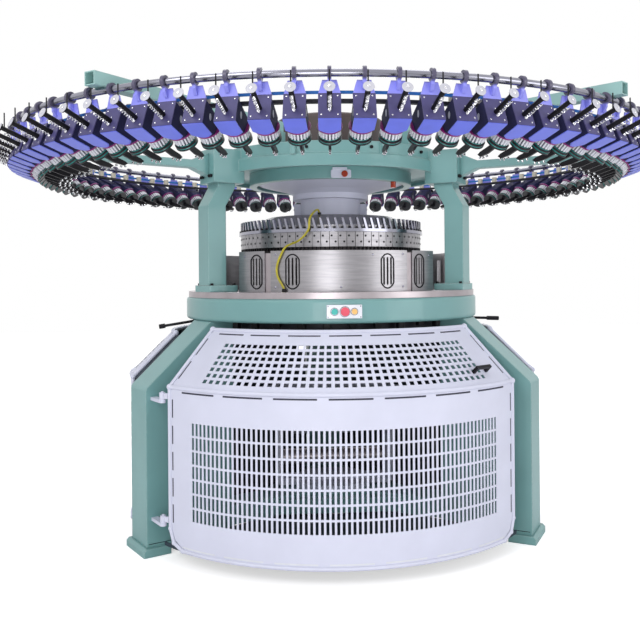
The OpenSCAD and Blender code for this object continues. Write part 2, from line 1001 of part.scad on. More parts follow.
// Closed tube with flat ends, swept along the smoothed route
module tube_along(p, r, sides, per) {
    line = concat([for (i = [0 : len(p) - 2]) for (k = [0 : per - 1]) smooth(p, i, k / per)], [p[len(p) - 1]]);
    m = len(line);
    dirs = [for (i = [0 : m - 1])
        let (d = i == m - 1 ? [0, 0, -1] : i == 0 ? [0, 0, 1] : line[i + 1] - line[i - 1]) d / norm(d)];
    rings = [for (i = [0 : m - 1])
        let (x = cross(dirs[i], [0.2, 0.95, 0.1]), xn = x / norm(x), yn = cross(dirs[i], xn))
        [for (k = [0 : sides - 1]) line[i] + r * (cos(360 * k / sides) * xn + sin(360 * k / sides) * yn)]];
    points = [for (ring = rings) for (q = ring) q];
    faces = concat(
        [[for (k = [0 : sides - 1]) k]],
        [for (i = [0 : m - 2]) for (k = [0 : sides - 1])
            [i * sides + (k + 1) % sides, i * sides + k, (i + 1) * sides + k, (i + 1) * sides + (k + 1) % sides]],
        [[for (k = [sides - 1 : -1 : 0]) (m - 1) * sides + k]]);
    polyhedron(points, faces);
}

leg_left();
leg_right();
leg_back();
foot_pads();
base_frame();
bed_plate();
bed_top_ring();
gear_case();
column_left();
column_right();
column_back();
crown();
crown_ring();
dial_hub();
dial_housing();
cylinder_drum();
cam_plates();
yarn_guides();
cylinder_guards();
guard_brackets();
top_housing();
lower_beams();
upper_arms();
tube_ring();
mount_ring();
belt_pulleys();
drive_belt();
feeder_bodies();
feeder_covers();
feeder_shields();
feeder_rims();
feeder_wheels();
feeder_clamps();
feeder_tensioners();
feeder_exit_arms();
control_panel();
start_button();
stop_button();
jog_button();
lever_pins();
lever_left();
lever_right();
door_frame();
door_eyes();
door_lower_grille();
door_upper_grille();
door_handle();
hinge_brackets();
rear_stays();
rear_frames();
rear_grilles();
take_down_frame();
take_down_rollers();
signal_lamps();
wire_glands();
wire_bundle();
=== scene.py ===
import json
import math
import bpy
from mathutils import Matrix, Vector


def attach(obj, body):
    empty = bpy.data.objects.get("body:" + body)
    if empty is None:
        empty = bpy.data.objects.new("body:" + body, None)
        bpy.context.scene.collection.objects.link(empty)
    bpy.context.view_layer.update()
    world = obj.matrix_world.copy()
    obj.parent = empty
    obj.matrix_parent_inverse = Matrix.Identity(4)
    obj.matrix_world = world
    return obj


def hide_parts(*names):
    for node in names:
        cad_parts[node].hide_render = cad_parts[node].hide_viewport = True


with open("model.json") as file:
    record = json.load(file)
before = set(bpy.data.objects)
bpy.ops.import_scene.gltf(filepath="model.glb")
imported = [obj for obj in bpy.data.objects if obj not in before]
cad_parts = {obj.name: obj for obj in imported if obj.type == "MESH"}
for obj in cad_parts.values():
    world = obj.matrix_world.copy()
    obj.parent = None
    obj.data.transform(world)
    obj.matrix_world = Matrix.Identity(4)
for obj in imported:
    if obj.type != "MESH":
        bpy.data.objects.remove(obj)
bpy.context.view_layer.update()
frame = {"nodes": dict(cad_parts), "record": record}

MM = 0.001

# Sizes repeated from the part's source, in millimetres and degrees
LEG_ANGLES = (-60, 60, 180)
LEG_SIDE = 90
DECK_Z = 1155
BED_Z = 1020
PANEL_FACE_R = 755
PANEL_Z = 1073
DRUM_TOP_Z = 1433
CAM_PLATES = 72
CAM_PLATE_H = 70
CAM_FACE_R = 465
GUIDE_RING_H = 15
SHELL_FACE_R = 602
HUB_DISC_Z = 1700
CROWN_BAND_R = 568
CROWN_SOCKET_R = 705
FEEDERS = 84
FEEDER_W = 66
FACE_R = 1438.7
FACE_Z = 1739.3
AXIS_TILT = 48
WHEEL_LEN = 55
BODY_TOP = (1525, 1828.5)
BODY_NOSE = (1560, 1740)
COVER_T = 4
GUARD_R = 1016
SEAM_Z = 756
FRONT_TOP = (780, 989)
REAR_TOP = (812, 957)
BAYS = (0, 120, 240)
REAR_BAYS = (120, 240)
# A rear guard's columns of slots and of holes: how many, and a third of the angle between them
REAR_SLOTS = (22, 1.205)
REAR_HOLES = (13, 2)


# Places, in millimetres from the machine's axis on the floor


def shift(x, y, z):
    return Matrix.Translation((x, y, z))


def turn(degrees, axis="Z"):
    return Matrix.Rotation(math.radians(degrees), 4, axis)


def at(phi, r, z):
    """Place at an angle from the front: X across, -Y outwards, Z up."""
    return turn(phi) @ shift(0, -r, z)


def facing_out(phi, r, z):
    """As at(), turned so that local Z points outwards and Y up."""
    return at(phi, r, z) @ turn(90, "X")


def feeder_places():
    return [turn(k * 360 / FEEDERS) for k in range(FEEDERS)]


def on_wheel_axis(place):
    """Place at the middle of a feeder wheel's upper face, with Z along its axis."""
    return place @ shift(0, -FACE_R, FACE_Z) @ turn(AXIS_TILT, "X")


def on_cover(place, down):
    """Place on a feeder's cover, down from its top edge: Z square to the cover, Y up along it."""
    run = Vector((BODY_NOSE[0] - BODY_TOP[0], BODY_NOSE[1] - BODY_TOP[1])).normalized()
    out = Vector((-run[1], run[0]))
    r = BODY_TOP[0] + run[0] * down + out[0] * COVER_T
    z = BODY_TOP[1] + run[1] * down + out[1] * COVER_T
    tilt = math.pi / 2 - math.atan2(out[1], out[0])
    return place @ shift(0, -r, z) @ Matrix.Rotation(tilt, 4, "X")


def add_object(name, data):
    obj = bpy.data.objects.new(name, data)
    bpy.context.scene.collection.objects.link(obj)
    return obj


# Camera at the photograph's viewing angle: metres, degrees and pixels of the photograph

CAM_AZIMUTH = -4.2857
CAM_DISTANCE = 4.13
CAM_HEIGHT = 1.226
CAM_ROLL = -0.46
FOCAL_PX = 790
FRAME_PX = 640
AXIS_PX = (331, 276)


def make_camera():
    data = bpy.data.cameras.new("camera")
    data.sensor_width = 36
    data.lens = FOCAL_PX / FRAME_PX * data.sensor_width
    data.shift_x = (FRAME_PX / 2 - AXIS_PX[0]) / FRAME_PX
    data.shift_y = (AXIS_PX[1] - FRAME_PX / 2) / FRAME_PX
    cam = add_object("camera", data)
    a = math.radians(CAM_AZIMUTH)
    place = shift(math.sin(a) * CAM_DISTANCE, -math.cos(a) * CAM_DISTANCE, CAM_HEIGHT)
    cam.matrix_world = place @ turn(CAM_AZIMUTH) @ turn(90, "X") @ turn(CAM_ROLL)
    bpy.context.scene.camera = cam


# Materials

RELIEF_MM = 0.2
EDGE_SAMPLES = 4
# Scales of the mottling and of the fine relief, as a share and a multiple of a finish's grain
MOTTLE_PART = 8
FINE_TIMES = 5
MOTTLE_STOPS = (0.3, 0.7)
# How far the roughness strays down and up, and the least that it may be
GLOSSIER = 0.08
DULLER = 0.1
LEAST_ROUGH = 0.03
# Angles from which an edge is sharp, on the frame's meshes and on those made here
SHARP_FRAME = 30
SHARP_MADE = 35
# Where one colour gives way to the other: the cosine between the rounded and the true normal on a corner,
# where the lighter colour of wear and painted highlight comes in, the distance up a feeder wheel's axis from
# its upper face, and the height on a feeder's clamp, in metres
WORN_AND_LIT_BAND = (0.93, 0.75)
RING_BAND = (-0.0375, -0.0385)
GRIP_BAND = (1.868, 1.876)


def srgb(r, g, b):
    """Linear colour of an 8-bit sRGB one."""
    def channel(c):
        c = c / 255
        return c / 12.92 if c <= 0.04045 else ((c + 0.055) / 1.055) ** 2.4
    return (channel(r), channel(g), channel(b), 1)


def shade(color, k):
    return tuple(min(1, c * k) for c in color[:3]) + (1,)


def new_material(name, values):
    """Material, its node tree and its shader, with values for the shader's inputs."""
    mat = bpy.data.materials.new(name)
    mat.use_nodes = True
    shader = mat.node_tree.nodes["Principled BSDF"]
    for key, value in values.items():
        shader.inputs[key].default_value = value
    return mat, mat.node_tree, shader


def add_node(tree, kind, values=None, **settings):
    """Shader node of a kind, with its settings and then values for its inputs."""
    node = tree.nodes.new("ShaderNode" + kind)
    for key, value in settings.items():
        setattr(node, key, value)
    for key, value in (values or {}).items():
        node.inputs[key].default_value = value
    return node


def add_noise(tree, mapping, scale, detail):
    noise = add_node(tree, "TexNoise", {"Scale": scale, "Detail": detail})
    tree.links.new(mapping.outputs["Vector"], noise.inputs["Vector"])
    return noise.outputs["Fac"]


def add_band(tree, value, start, end):
    """Share that goes from 0 where the value is at start to 1 where it is at end."""
    band = add_node(tree, "MapRange", {"From Min": start, "From Max": end})
    tree.links.new(value, band.inputs["Value"])
    return band.outputs["Result"]


def mix_in(tree, share, rgb):
    """Mixes a flat colour into the finish's own colour, fully where share is 1."""
    base = tree.nodes["Principled BSDF"].inputs["Base Color"]
    own = base.links[0].from_socket
    mix = add_node(tree, "Mix", {"B": srgb(*rgb)}, data_type="RGBA")
    tree.links.new(share, mix.inputs["Factor"])
    tree.links.new(own, mix.inputs["A"])
    tree.links.new(mix.outputs["Result"], base)


def wear_and_highlight_corners(tree, rounding, fine, rgb):
    """Lighter colour in patches where the rounded normal leaves the true one: partly bare wear, partly
    painted highlight on the edges.
    """
    geometry = add_node(tree, "NewGeometry")
    facing = add_node(tree, "VectorMath", operation="DOT_PRODUCT")
    tree.links.new(rounding.outputs["Normal"], facing.inputs[0])
    tree.links.new(geometry.outputs["Normal"], facing.inputs[1])
    patchy = add_node(tree, "Math", operation="MULTIPLY")
    tree.links.new(add_band(tree, facing.outputs["Value"], *WORN_AND_LIT_BAND), patchy.inputs[0])
    tree.links.new(fine, patchy.inputs[1])
    mix_in(tree, patchy.outputs["Value"], rgb)


def surface(name, rgb, rough, metallic, grain, tint, bump,
            edge_mm=2, edge_wear_and_light=None, coat=0, stretch=(1, 1, 1), transmission=0, specular=0.5):
    """Finish with colour mottling, uneven gloss, fine relief, rounded edges, and corners that are partly
    worn and partly lit with a painted highlight.

    grain sets how fine the mottling is, tint how far its colour strays, bump how strong the relief is,
    edge_mm how round the edges look, and the colour given for the corners is lighter: partly bare wear and
    partly painted highlight.
    """
    mat, tree, shader = new_material(name, {
        "Metallic": metallic,
        "Coat Weight": coat,
        "Specular IOR Level": specular,
        "Transmission Weight": transmission,
    })
    link = tree.links.new
    coords = add_node(tree, "TexCoord")
    mapping = add_node(tree, "Mapping", {"Scale": stretch})
    link(coords.outputs["Object"], mapping.inputs["Vector"])
    mottle = add_noise(tree, mapping, grain / MOTTLE_PART, 6)
    fine = add_noise(tree, mapping, grain * FINE_TIMES, 4)

    ramp = add_node(tree, "ValToRGB")
    for stop, position, k in zip(ramp.color_ramp.elements, MOTTLE_STOPS, (1 - tint, 1 + tint)):
        stop.position = position
        stop.color = shade(srgb(*rgb), k)
    link(mottle, ramp.inputs["Fac"])
    link(ramp.outputs["Color"], shader.inputs["Base Color"])

    gloss = add_node(tree, "MapRange", {
        "To Min": max(LEAST_ROUGH, rough - GLOSSIER),
        "To Max": rough + DULLER,
    })
    link(fine, gloss.inputs["Value"])
    link(gloss.outputs["Result"], shader.inputs["Roughness"])

    rounding = add_node(tree, "Bevel", {"Radius": edge_mm * MM}, samples=EDGE_SAMPLES)
    relief = add_node(tree, "Bump", {"Strength": bump, "Distance": RELIEF_MM * MM})
    link(fine, relief.inputs["Height"])
    link(rounding.outputs["Normal"], relief.inputs["Normal"])
    link(relief.outputs["Normal"], shader.inputs["Normal"])
    if edge_wear_and_light:
        wear_and_highlight_corners(tree, rounding, fine, edge_wear_and_light)
    return mat


def blacken_end_rings(mat):
    """Black for the feeder wheels' end rings, which lie further down their axis than the barrels, whose dark
    grey is painted shade between their fins.
    """
    tree = mat.node_tree
    link = tree.links.new
    coords = add_node(tree, "TexCoord").outputs["Object"]
    parts = add_node(tree, "SeparateXYZ")
    link(coords, parts.inputs[0])
    level = add_node(tree, "VectorMath", {1: (1, 1, 0)}, operation="MULTIPLY")
    link(coords, level.inputs[0])
    radius = add_node(tree, "VectorMath", operation="LENGTH")
    link(level.outputs["Vector"], radius.inputs[0])

    out, up = math.sin(math.radians(AXIS_TILT)), math.cos(math.radians(AXIS_TILT))
    face = FACE_R * MM * out + FACE_Z * MM * up
    from_face = add_node(tree, "Math", {1: out, 2: -face}, operation="MULTIPLY_ADD")
    link(radius.outputs["Value"], from_face.inputs[0])
    along = add_node(tree, "Math", {1: up}, operation="MULTIPLY_ADD")
    link(parts.outputs["Z"], along.inputs[0])
    link(from_face.outputs["Value"], along.inputs[2])
    mix_in(tree, add_band(tree, along.outputs["Value"], *RING_BAND), (28, 28, 34))


def tint_grips(mat):
    """Grey-violet for the clamps' grips on the tube, above their blue wing plates."""
    tree = mat.node_tree
    parts = add_node(tree, "SeparateXYZ")
    tree.links.new(add_node(tree, "TexCoord").outputs["Object"], parts.inputs[0])
    mix_in(tree, add_band(tree, parts.outputs["Z"], *GRIP_BAND), (84, 80, 104))


def make_materials():
    """Each finish by name: 8-bit colour, roughness, metallic, grain, tint and bump, then its extras."""
    made = {}

    def add(name, *look, **extras):
        made[name] = surface(name, *look, **extras)

    # Corner colours, given as wear, are lighter than each paint: partly bare wear, partly painted highlight
    worn_and_lit_teal = (190, 215, 212)
    add("teal_paint", (112, 158, 158), 0.38, 0, 40, 0.05, 0.12, edge_mm=9, edge_wear_and_light=worn_and_lit_teal, coat=0.25)
    # The arms' lighter teal is painted light on the same paint as teal_paint
    add("arm_paint", (150, 192, 190), 0.4, 0, 40, 0.05, 0.12, edge_mm=4, edge_wear_and_light=worn_and_lit_teal, coat=0.2)
    add("white_paint", (206, 208, 226), 0.42, 0, 60, 0.03, 0.15, edge_mm=1.5, edge_wear_and_light=(235, 236, 245))
    add("housing_paint", (66, 52, 52), 0.5, 0, 40, 0.15, 0.2, edge_mm=6, edge_wear_and_light=(110, 95, 92))
    add("panel_grey", (214, 216, 224), 0.35, 0.3, 100, 0.05, 0.15, edge_wear_and_light=(240, 240, 245))

    add("ground_steel", (168, 160, 164), 0.32, 0.85, 90, 0.1, 0.1, edge_wear_and_light=(220, 215, 215))
    add("stainless", (150, 148, 152), 0.3, 0.9, 70, 0.12, 0.18, stretch=(1, 1, 14), edge_mm=1.5,
        edge_wear_and_light=(215, 215, 220))
    add("drum_steel", (60, 56, 58), 0.4, 0.7, 90, 0.2, 0.2, edge_wear_and_light=(130, 130, 130))
    add("dark_steel", (38, 37, 44), 0.42, 0.2, 90, 0.2, 0.2, edge_wear_and_light=(92, 92, 98), specular=0.3)
    add("chrome", (150, 150, 162), 0.16, 1, 80, 0.08, 0.05, edge_mm=1)
    add("bright_steel", (228, 228, 232), 0.14, 1, 120, 0.05, 0.05, edge_mm=0.5)

    add("feeder_case", (42, 42, 76), 0.62, 0, 160, 0.1, 0.3, edge_mm=1.5, edge_wear_and_light=(76, 76, 116), specular=0.12)
    add("feeder_slate", (80, 76, 122), 0.4, 0, 200, 0.1, 0.35, edge_mm=1.2, edge_wear_and_light=(120, 116, 162),
        specular=0.35)
    add("feeder_blue", (102, 113, 220), 0.32, 0, 120, 0.06, 0.2, edge_mm=1.2, edge_wear_and_light=(150, 160, 245))
    add("rim_magenta", (128, 24, 108), 0.3, 0, 120, 0.12, 0.2, edge_mm=1)
    # Dark grey for the wheels' barrels: painted shade in the gaps between the pale fins
    add("wheel_white", (84, 84, 98), 0.3, 0, 200, 0.08, 0.2, edge_mm=0.6)
    add("clamp_violet", (140, 142, 236), 0.32, 0, 120, 0.06, 0.2, edge_mm=1.5, edge_wear_and_light=(172, 174, 250))
    add("fin_white", (214, 216, 224), 0.3, 0, 200, 0.05, 0.2, edge_mm=0.5)
    # Teal for the rings on the wheels' black ends: painted glints
    add("glint_teal", (44, 128, 124), 0.25, 0, 160, 0.35, 0.2, edge_mm=0.5, coat=0.4)
    add("ceramic", (196, 196, 206), 0.25, 0, 160, 0.04, 0.1, edge_mm=0.5, specular=0.4)
    add("badge", (176, 178, 200), 0.4, 0, 160, 0.05, 0.1, edge_mm=0.5)
    add("belt_blue", (30, 110, 190), 0.6, 0, 200, 0.1, 0.4, edge_mm=0.6)
    add("pulley_cream", (196, 190, 176), 0.5, 0, 90, 0.08, 0.2, edge_mm=1)

    add("black_plastic", (20, 19, 24), 0.35, 0, 160, 0.25, 0.3, edge_mm=1, edge_wear_and_light=(54, 54, 60), specular=0.18)
    add("painted_shade_dark", (46, 56, 66), 0.6, 0, 90, 0.3, 0.3, edge_mm=0.5, specular=0.2)
    # Colour of the dark sheets and floor inside the guards: painted shade
    add("slit_dark", (40, 40, 58), 0.6, 0, 160, 0.2, 0.2, edge_mm=0.3)
    add("button_green", (52, 178, 170), 0.3, 0, 150, 0.06, 0.15)
    add("button_red", (222, 74, 96), 0.3, 0, 150, 0.06, 0.15)
    add("button_yellow", (240, 190, 110), 0.3, 0, 150, 0.06, 0.15)
    add("lamp_orange", (196, 66, 32), 0.2, 0, 150, 0.15, 0.1, coat=0.5, transmission=0.3)
    add("wire_yellow", (188, 176, 52), 0.5, 0, 300, 0.2, 0.5, edge_mm=0.5)

    blacken_end_rings(made["wheel_white"])
    tint_grips(made["clamp_violet"])
    return made


def paint_frame(materials):
    """Puts each CAD node's material on it."""
    slots = {s["node"]: s["material_slot"] for s in frame["record"]["subparts"]}
    for name, obj in frame["nodes"].items():
        obj.data.materials.clear()
        obj.data.materials.append(materials[slots[name]])
        obj.data.set_sharp_from_angle(angle=math.radians(SHARP_FRAME))


# Mesh building


def circle(radius, sides):
    angles = [2 * math.pi * i / sides for i in range(sides)]
    return [(radius * math.cos(a), radius * math.sin(a)) for a in angles]


def strip(width, low, high):
    """Rectangle across X, from low to high along Y."""
    x = width / 2
    return [(-x, low), (x, low), (x, high), (-x, high)]


def tube_faces(rings, sides):
    """Faces that join rings of points one after the other, and close both ends."""
    faces = []
    for i in range(rings - 1):
        for j in range(sides):
            k = (j + 1) % sides
            faces.append((i * sides + j, i * sides + k, (i + 1) * sides + k, (i + 1) * sides + j))
    faces.append(tuple(range(sides))[::-1])
    faces.append(tuple((rings - 1) * sides + j for j in range(sides)))
    return faces


class Shape:
    """Collects faces in millimetres and turns them into one object in metres."""

    def __init__(self):
        self.verts = []
        self.faces = []

    def add(self, verts, faces, place=Matrix()):
        base = len(self.verts)
        self.verts += [place @ Vector(v) for v in verts]
        self.faces += [tuple(base + i for i in f) for f in faces]

    def prism(self, outline, z0, z1, place=Matrix(), top_scale=1.0):
        """Outline in X and Y, drawn up in Z, with its top drawn in by a scale about its middle."""
        n = len(outline)
        cx = sum(p[0] for p in outline) / n
        cy = sum(p[1] for p in outline) / n
        low = [(x, y, z0) for x, y in outline]
        high = [(cx + (x - cx) * top_scale, cy + (y - cy) * top_scale, z1) for x, y in outline]
        self.add(low + high, tube_faces(2, n), place)

    def plate(self, size, place=Matrix(), chamfer=1.0):
        """Plate with cut corners that stands on Z = 0, with chamfered top edges."""
        w, d, h = size[0] / 2, size[1] / 2, size[2]
        c = min(w, d) * 0.25
        right = [(w - c, -d), (w, c - d), (w, d - c), (w - c, d)]
        outline = right + [(-x, y) for x, y in reversed(right)]
        self.prism(outline, 0, h - chamfer, place)
        self.prism(outline, h - chamfer, h, place, 1 - chamfer / max(w, d))

    def lathe(self, profile, sides, place=Matrix()):
        """Profile of (radius, height) pairs, turned about Z."""
        verts = [(x, y, z) for r, z in profile for x, y in circle(r, sides)]
        self.add(verts, tube_faces(len(profile), sides), place)

    def screw(self, radius, edge_h, top_r, height, sides, place):
        """Flat screw head: a straight edge, then a chamfer up to the radius of its top."""
        self.lathe([(radius, 0), (radius, edge_h), (top_r, height)], sides, place)

    def ring(self, radius, thick, z, sides, place=Matrix(), tube=6):
        """Closed round ring of round section."""
        verts, faces = [], []
        for i in range(sides):
            a = 2 * math.pi * i / sides
            for across, up in circle(thick, tube):
                r = radius + across
                verts.append((r * math.cos(a), r * math.sin(a), z + up))
            for j in range(tube):
                i2, j2 = (i + 1) % sides, (j + 1) % tube
                faces.append((i * tube + j, i2 * tube + j, i2 * tube + j2, i * tube + j2))
        self.add(verts, faces, place)

    def wire(self, points, radius, sides=6, place=Matrix()):
        """Round tube through the points, turned as little as may be from one to the next."""
        pts = [Vector(p) for p in points]
        verts = []
        side = None
        for i, p in enumerate(pts):
            d = (pts[min(i + 1, len(pts) - 1)] - pts[max(i - 1, 0)]).normalized()
            if side is None:
                # Any direction will do that isn't the wire's own
                side = d.cross(Vector((0.13, 0.31, 0.94)))
                if side.length < 0.1:
                    side = d.cross(Vector((1, 0, 0)))
            side = (side - d * side.dot(d)).normalized()
            up = d.cross(side)
            for j in range(sides):
                b = 2 * math.pi * j / sides
                verts.append(p + radius * (math.cos(b) * side + math.sin(b) * up))
        self.add(verts, tube_faces(len(pts), sides), place)

    def sweep(self, section, mid_phi, half_angle, steps):
        """Closed outline of (radius, height) pairs, swept round the machine's axis."""
        verts = []
        for i in range(steps + 1):
            phi = math.radians(mid_phi - half_angle + 2 * half_angle * i / steps)
            verts += [(r * math.sin(phi), -r * math.cos(phi), z) for r, z in section]
        self.add(verts, tube_faces(steps + 1, len(section)))

    def build(self, name, material, body="machine", slot=None):
        mesh = bpy.data.meshes.new(name)
        mesh.from_pydata([v * MM for v in self.verts], [], self.faces)
        mesh.materials.append(material)
        mesh.validate()
        obj = add_object(name, mesh)
        mesh.shade_smooth()
        mesh.set_sharp_from_angle(angle=math.radians(SHARP_MADE))
        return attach(obj, body)


# Yarn feeders


def feeder_screws(m):
    """Corner screws and a middle one on each feeder's cover."""
    s = Shape()
    side_x, corner_down, middle_down = 27, (12, 84), 40
    for place in feeder_places():
        for x in (-side_x, side_x):
            for down in corner_down:
                s.screw(3, 1.2, 1.8, 1.8, 8, on_cover(place, down) @ shift(x, 0, 0))
        s.screw(2.4, 1.4, 1.2, 2, 8, on_cover(place, middle_down))
    s.build("feeder_screws", m["bright_steel"], slot="chrome")


def feeder_fins(m):
    """Pale fins that stand on each wheel's barrel."""
    s = Shape()
    fins, root_r, low = 20, 28.5, -34
    width, length, height, taper = 6, 28, 10, 0.93
    for place in feeder_places():
        for i in range(fins):
            root = on_wheel_axis(place) @ turn(360 * i / fins) @ shift(0, -root_r, low) @ turn(90, "X")
            s.prism(strip(width, 0, length), 0, height, root, taper)
    s.build("feeder_fins", m["fin_white"], slot="wheel_white")


def feeder_glint_rings(m):
    """Two teal rings on each wheel's black end, painted glints: radius, thickness and distance from the end.
    """
    s = Shape()
    rings, sides = ((38.6, 2.6, 7), (34, 2.2, 16.5)), 28
    for place in feeder_places():
        for radius, thick, up in rings:
            s.ring(radius, thick, up - WHEEL_LEN, sides, on_wheel_axis(place))
    s.build("feeder_glint_rings", m["glint_teal"], slot="wheel_white")


def feeder_springs(m):
    """Spring of each tensioner, with its ball on the cover."""
    s = Shape()
    turns, points_per_turn = 7, 7
    radius, wire_r, foot, length = 4.6, 1.9, 12, 78
    points = turns * points_per_turn
    coil = []
    for i in range(points + 1):
        a = 2 * math.pi * i / points_per_turn
        coil.append((radius * math.cos(a), radius * math.sin(a), foot + length * i / points))
    ball = [(0.5, 0), (5, 1.5), (7, 6), (5.5, 10.5), (1, 13)]
    for place in feeder_places():
        base = on_cover(place, 70)
        s.wire(coil, wire_r, 4, base)
        s.lathe(ball, 10, base)
    s.build("feeder_springs", m["bright_steel"], slot="chrome")


def feeder_discs(m):
    """Ceramic disc and bright centre at the end of each tensioner."""
    discs, pins = Shape(), Shape()
    down, stem_len = 55, 108
    disc = [(16, 5.9), (19, 6.6), (18, 8), (12, 9), (7, 9)]
    pin = [(5, 8.4), (5, 11), (2, 12.4)]
    for place in feeder_places():
        end = on_cover(place, down) @ shift(0, 0, stem_len)
        discs.lathe(disc, 18, end)
        pins.lathe(pin, 10, end)
    discs.build("feeder_ceramics", m["ceramic"], slot="wheel_white")
    pins.build("feeder_pins", m["bright_steel"], slot="chrome")


def feeder_tips(m):
    """Three bright eyelets under each exit arm."""
    s = Shape()
    places = ((1296, 1670), (1316, 1667), (1338, 1670))
    eyelet = [(2, -9), (4.5, -7), (4.5, -2), (3, 0)]
    for place in feeder_places():
        for r, z in places:
            s.lathe(eyelet, 8, place @ shift(0, -r, z))
    s.build("feeder_tips", m["bright_steel"], slot="chrome")


def feeder_badges(m):
    """Bare oval plates on both sides of each feeder's box."""
    s = Shape()
    points, half_w, half_h, thick, taper = 16, 13, 8, 0.8, 0.92
    mid_r, mid_z = 1490, 1772
    oval = [(half_w * x, half_h * y) for x, y in circle(1, points)]
    for place in feeder_places():
        for side in (-1, 1):
            face = place @ shift(side * FEEDER_W / 2, -mid_r, mid_z) @ turn(side * 90, "Y")
            s.prism(oval, 0, thick, face, taper)
    s.build("feeder_badges", m["badge"], slot="wheel_white")


# Cylinder and dial


def cam_screws(m):
    """Two screws on each cam plate, one high and one low: how far across, and down from its top."""
    s = Shape()
    screws = ((-10, 19), (8, 47))
    for k in range(CAM_PLATES):
        phi = (k + 0.5) * 360 / CAM_PLATES
        for x, down in screws:
            s.screw(5, 0.8, 3.6, 1.4, 10, facing_out(phi, CAM_FACE_R, DRUM_TOP_Z - down) @ shift(x, 0, 0))
    s.build("cam_screws", m["black_plastic"], slot="dark_steel")


def guide_tips(m):
    """Eyelets on the yarn guides, blocks on their ring, and needle butts under the cam plates."""
    s = Shape()
    tip_x, tip_r, tip_h, block_r = -15, 461, 42, 469
    butts, butt_r, butt_h = 144, 461, 16
    guide_z = DRUM_TOP_Z + GUIDE_RING_H
    eyelet = [(3, 0), (5, 2), (5, 6), (2, 8)]
    for k in range(FEEDERS):
        s.lathe(eyelet, 8, turn(k * 360 / FEEDERS) @ shift(tip_x, -tip_r, guide_z + tip_h))
        s.plate((12, 8, 9), at((k + 0.5) * 360 / FEEDERS, block_r, guide_z))
    for k in range(butts):
        s.plate((6, 8, butt_h), at(k * 360 / butts, butt_r, DRUM_TOP_Z - CAM_PLATE_H - butt_h))
    s.build("guide_tips", m["black_plastic"], slot="dark_steel")


def shell_screws(m):
    """Screws near the edges of the stainless cylinder guards."""
    s = Shape()
    low, high = DECK_Z + 21, DECK_Z + 170
    places = ((-29, high), (29, high), (-29, low), (29, low),
              (-46, high - 5), (46, high - 5), (0, low), (14, high - 3))
    for bay in BAYS:
        for phi, z in places:
            s.screw(5, 1.6, 3, 2.6, 12, facing_out(bay + phi, SHELL_FACE_R, z))
    s.build("shell_screws", m["chrome"], slot="chrome")


def shell_handles(m):
    """Dark rims round the slotted hand grips of the cylinder guards, bent to the sheet."""
    s = Shape()
    points, half_w, end_h, straight_h, rim_r = 24, 32, 62, 16, 3.2
    flat = 0.8
    bend_r = SHELL_FACE_R + 2
    mid_z = DECK_Z + 92
    rim = []
    for i in range(points):
        a = 2 * math.pi * (i + 0.5) / points
        x = half_w * max(-flat, min(flat, math.cos(a))) / flat
        y = end_h * math.sin(a) + (straight_h if math.sin(a) > 0 else -straight_h)
        rim.append((x, y, math.sqrt(bend_r ** 2 - x * x) - bend_r))
    rim += rim[:2]
    for bay in BAYS:
        for phi in (-39, -21, 21, 39):
            s.wire(rim, rim_r, 6, facing_out(bay + phi, SHELL_FACE_R + 1, mid_z))
    s.build("shell_handles", m["black_plastic"], slot="black_plastic")


def lamp_bracket(m):
    """Pale housing on the crown ring behind the front signal lamp."""
    s = Shape()
    front = facing_out(2.6, 421, 1706)
    s.plate((96, 40, 6), front, 1.2)
    s.plate((70, 12, 9), front @ shift(-6, 24, 0), 1.2)
    s.build("lamp_bracket", m["white_paint"], slot="white_paint")


def hub_details(m):
    """Screws on the dial hub's two blocks, and bolts under the edge of its disc."""
    screws, bolts = Shape(), Shape()
    block_r, block_z, bolt_r = 189, 1572, 356
    for phi in (-94, 86):
        screws.screw(6, 2, 3, 3, 12, facing_out(phi, block_r, block_z))
    for phi in range(0, 360, 15):
        bolts.screw(5, -3, 3, -4, 8, at(phi, bolt_r, HUB_DISC_Z))
    screws.build("hub_screws", m["black_plastic"], slot="black_plastic")
    bolts.build("hub_bolts", m["chrome"], slot="chrome")


# Frame fittings


def frame_bolts(m):
    """Socket screws on the columns' feet, the crown's sockets and its upper band."""
    s = Shape()
    head = [(7.5, 0), (7.5, 9), (6.3, 10), (4, 10), (3.6, 6)]
    foot_x, foot_rows, foot_z = 68, (602, 716), DECK_Z + 31
    socket_x, socket_z, band_z = (-54, -34, 34, 54), 1700, 1812
    for phi in LEG_ANGLES:
        for x in (-foot_x, foot_x):
            for r in foot_rows:
                s.lathe(head, 12, turn(phi) @ shift(x, -r, foot_z))
        for x in socket_x:
            s.lathe(head, 12, facing_out(phi, CROWN_SOCKET_R, socket_z) @ shift(x, 0, 0))
    for phi in range(15, 360, 30):
        s.lathe(head, 12, facing_out(phi, CROWN_BAND_R, band_z))
    s.build("frame_bolts", m["black_plastic"], slot="dark_steel")


def leg_seams(m):
    """Dark seam low on both sides of each leg."""
    s = Shape()
    mid_r, seam_z, width, length, thick = 835, 52, 3, 410, 0.4
    for phi in LEG_ANGLES:
        for side in (-1, 1):
            face = turn(phi) @ shift(side * LEG_SIDE, -mid_r, seam_z) @ turn(side * 90, "Y")
            s.prism(strip(width, -length / 2, length / 2), 0, thick, face)
    s.build("leg_seams", m["black_plastic"], slot="dark_steel")


def under_bed(m):
    """Dark clips and cables under the bed's edge."""
    s = Shape()
    clips, first_phi, clip_r, gap = 36, 4, 655, 1
    for k in range(clips):
        drop = 22 + 8 * (k % 3)
        s.plate((34, 26, drop), at(k * 360 / clips + first_phi, clip_r, BED_Z - gap - drop))
    s.build("bed_clips", m["black_plastic"], slot="dark_steel")


